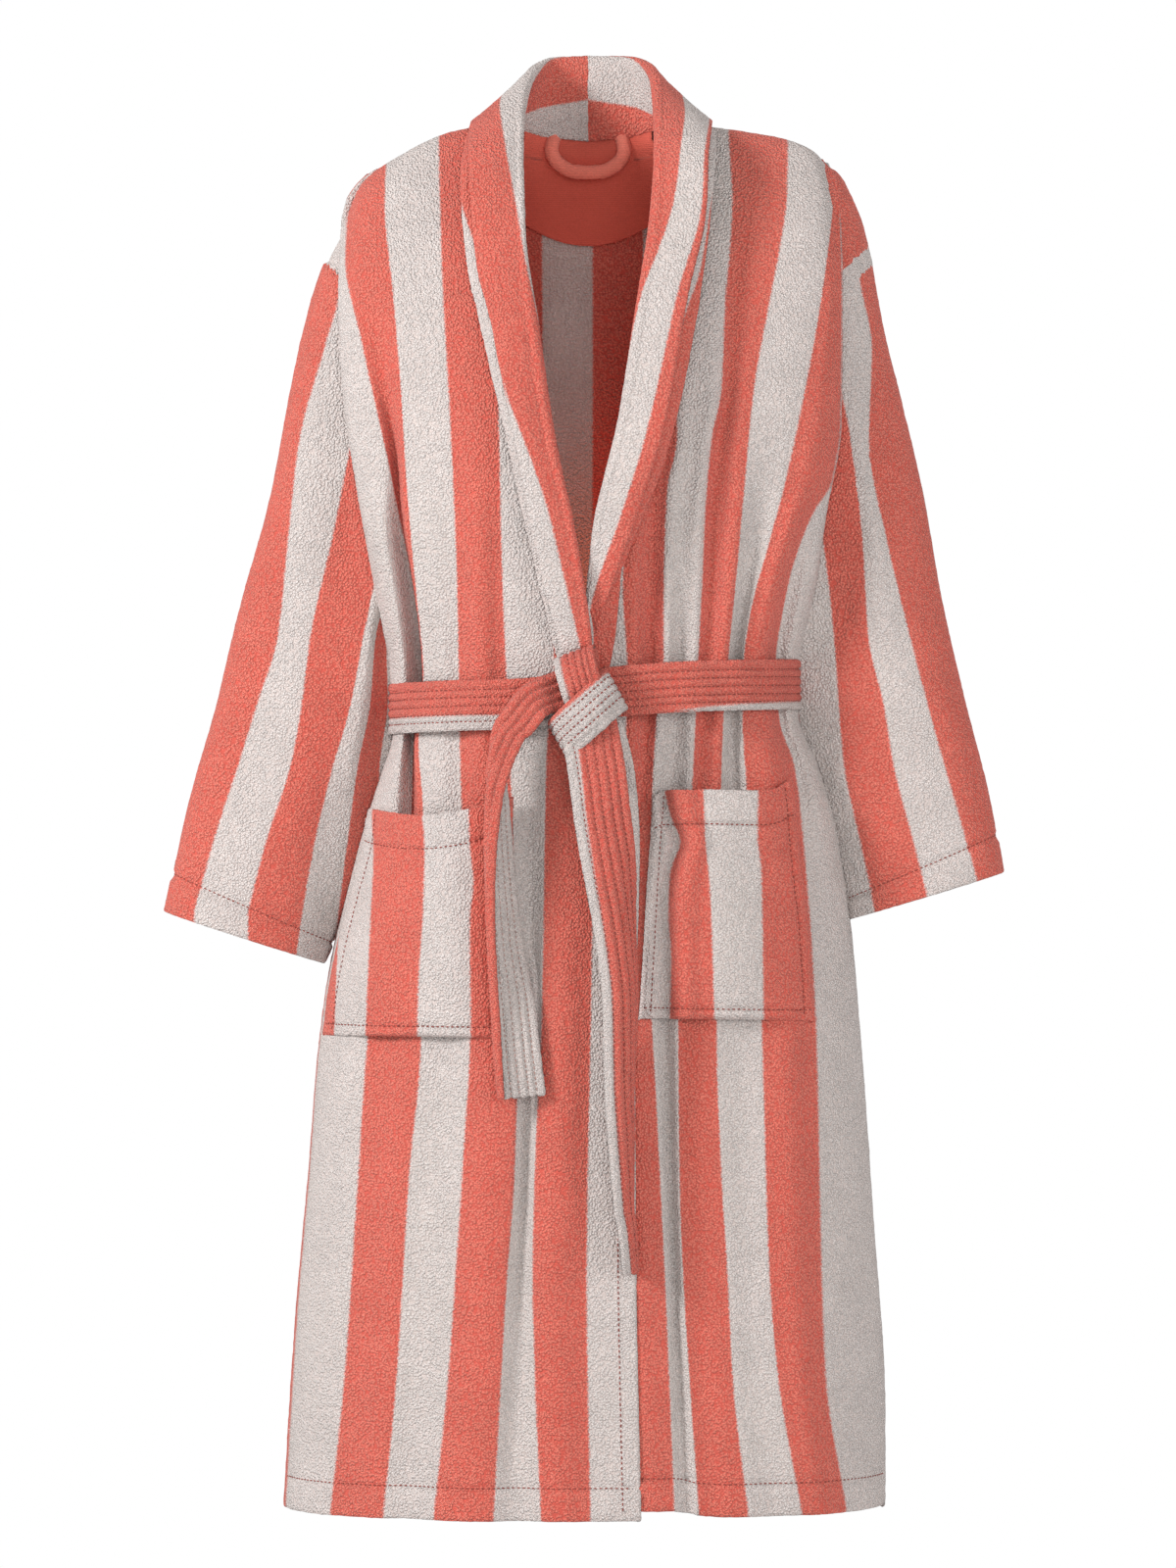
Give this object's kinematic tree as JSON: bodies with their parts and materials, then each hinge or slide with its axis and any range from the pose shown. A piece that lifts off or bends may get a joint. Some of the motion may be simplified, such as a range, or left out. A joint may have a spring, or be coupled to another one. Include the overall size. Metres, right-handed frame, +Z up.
{
  "type": "bathrobe",
  "caption": "Striped terry bathrobe with a shawl collar, drop-shoulder sleeves, two patch pockets, a tied belt and a hanger loop inside the back neck.",
  "frame": {"origin": "where the hanger loop is sewn in, at the centre of the back neck seam", "axes": "+Z up towards the collar, +X towards the wearer's left, the front faces -Y"},
  "size_m": [0.716, 0.245, 1.2206],
  "materials": {
    "terry": "looped cotton terry, coral and off-white stripes",
    "belt_terry": "looped cotton terry, coral with an off-white back, sewn in rows",
    "facing_knit": "flat coral cotton knit",
    "loop_cord": "sewn tube of coral cotton"
  },
  "bodies": {
    "robe_body": {"back_panel": "terry", "right_front_panel": "terry", "left_front_panel": "terry", "back_neck_facing": "facing_knit", "right_collar": "terry", "left_collar": "terry", "right_under_collar": "terry", "left_under_collar": "terry", "right_pocket": "terry", "left_pocket": "terry", "right_belt_loop": "terry", "left_belt_loop": "terry", "belt_band": "belt_terry", "belt_knot": "belt_terry"},
    "right_sleeve": {"right_sleeve": "terry"},
    "left_sleeve": {"left_sleeve": "terry"},
    "belt_tail_short": {"belt_tail_short": "belt_terry"},
    "belt_tail_long": {"belt_tail_long": "belt_terry"},
    "hanger_loop": {"hanger_loop": "loop_cord"}
  },
  "joints": [
    {"name": "right_sleeve_lift", "type": "hinge", "parent": "robe_body", "child": "right_sleeve", "pos_m": [-0.2164, -0.062, -0.072], "axis": [0, 1, 0], "range_deg": [0, 60]},
    {"name": "left_sleeve_lift", "type": "hinge", "parent": "robe_body", "child": "left_sleeve", "pos_m": [0.2164, -0.062, -0.072], "axis": [0, -1, 0], "range_deg": [0, 60]},
    {"name": "short_tail_swing", "type": "hinge", "parent": "robe_body", "child": "belt_tail_short", "pos_m": [-0.036, -0.1945, -0.517], "axis": [-1, 0, 0], "range_deg": [0, 60]},
    {"name": "long_tail_swing", "type": "hinge", "parent": "robe_body", "child": "belt_tail_long", "pos_m": [0.012, -0.1945, -0.517], "axis": [-1, 0, 0], "range_deg": [0, 60]},
    {"name": "loop_flip", "type": "hinge", "parent": "robe_body", "child": "hanger_loop", "pos_m": [0, -0.0192, -0.003], "axis": [-1, 0, 0], "range_deg": [0, 150]}
  ]
}
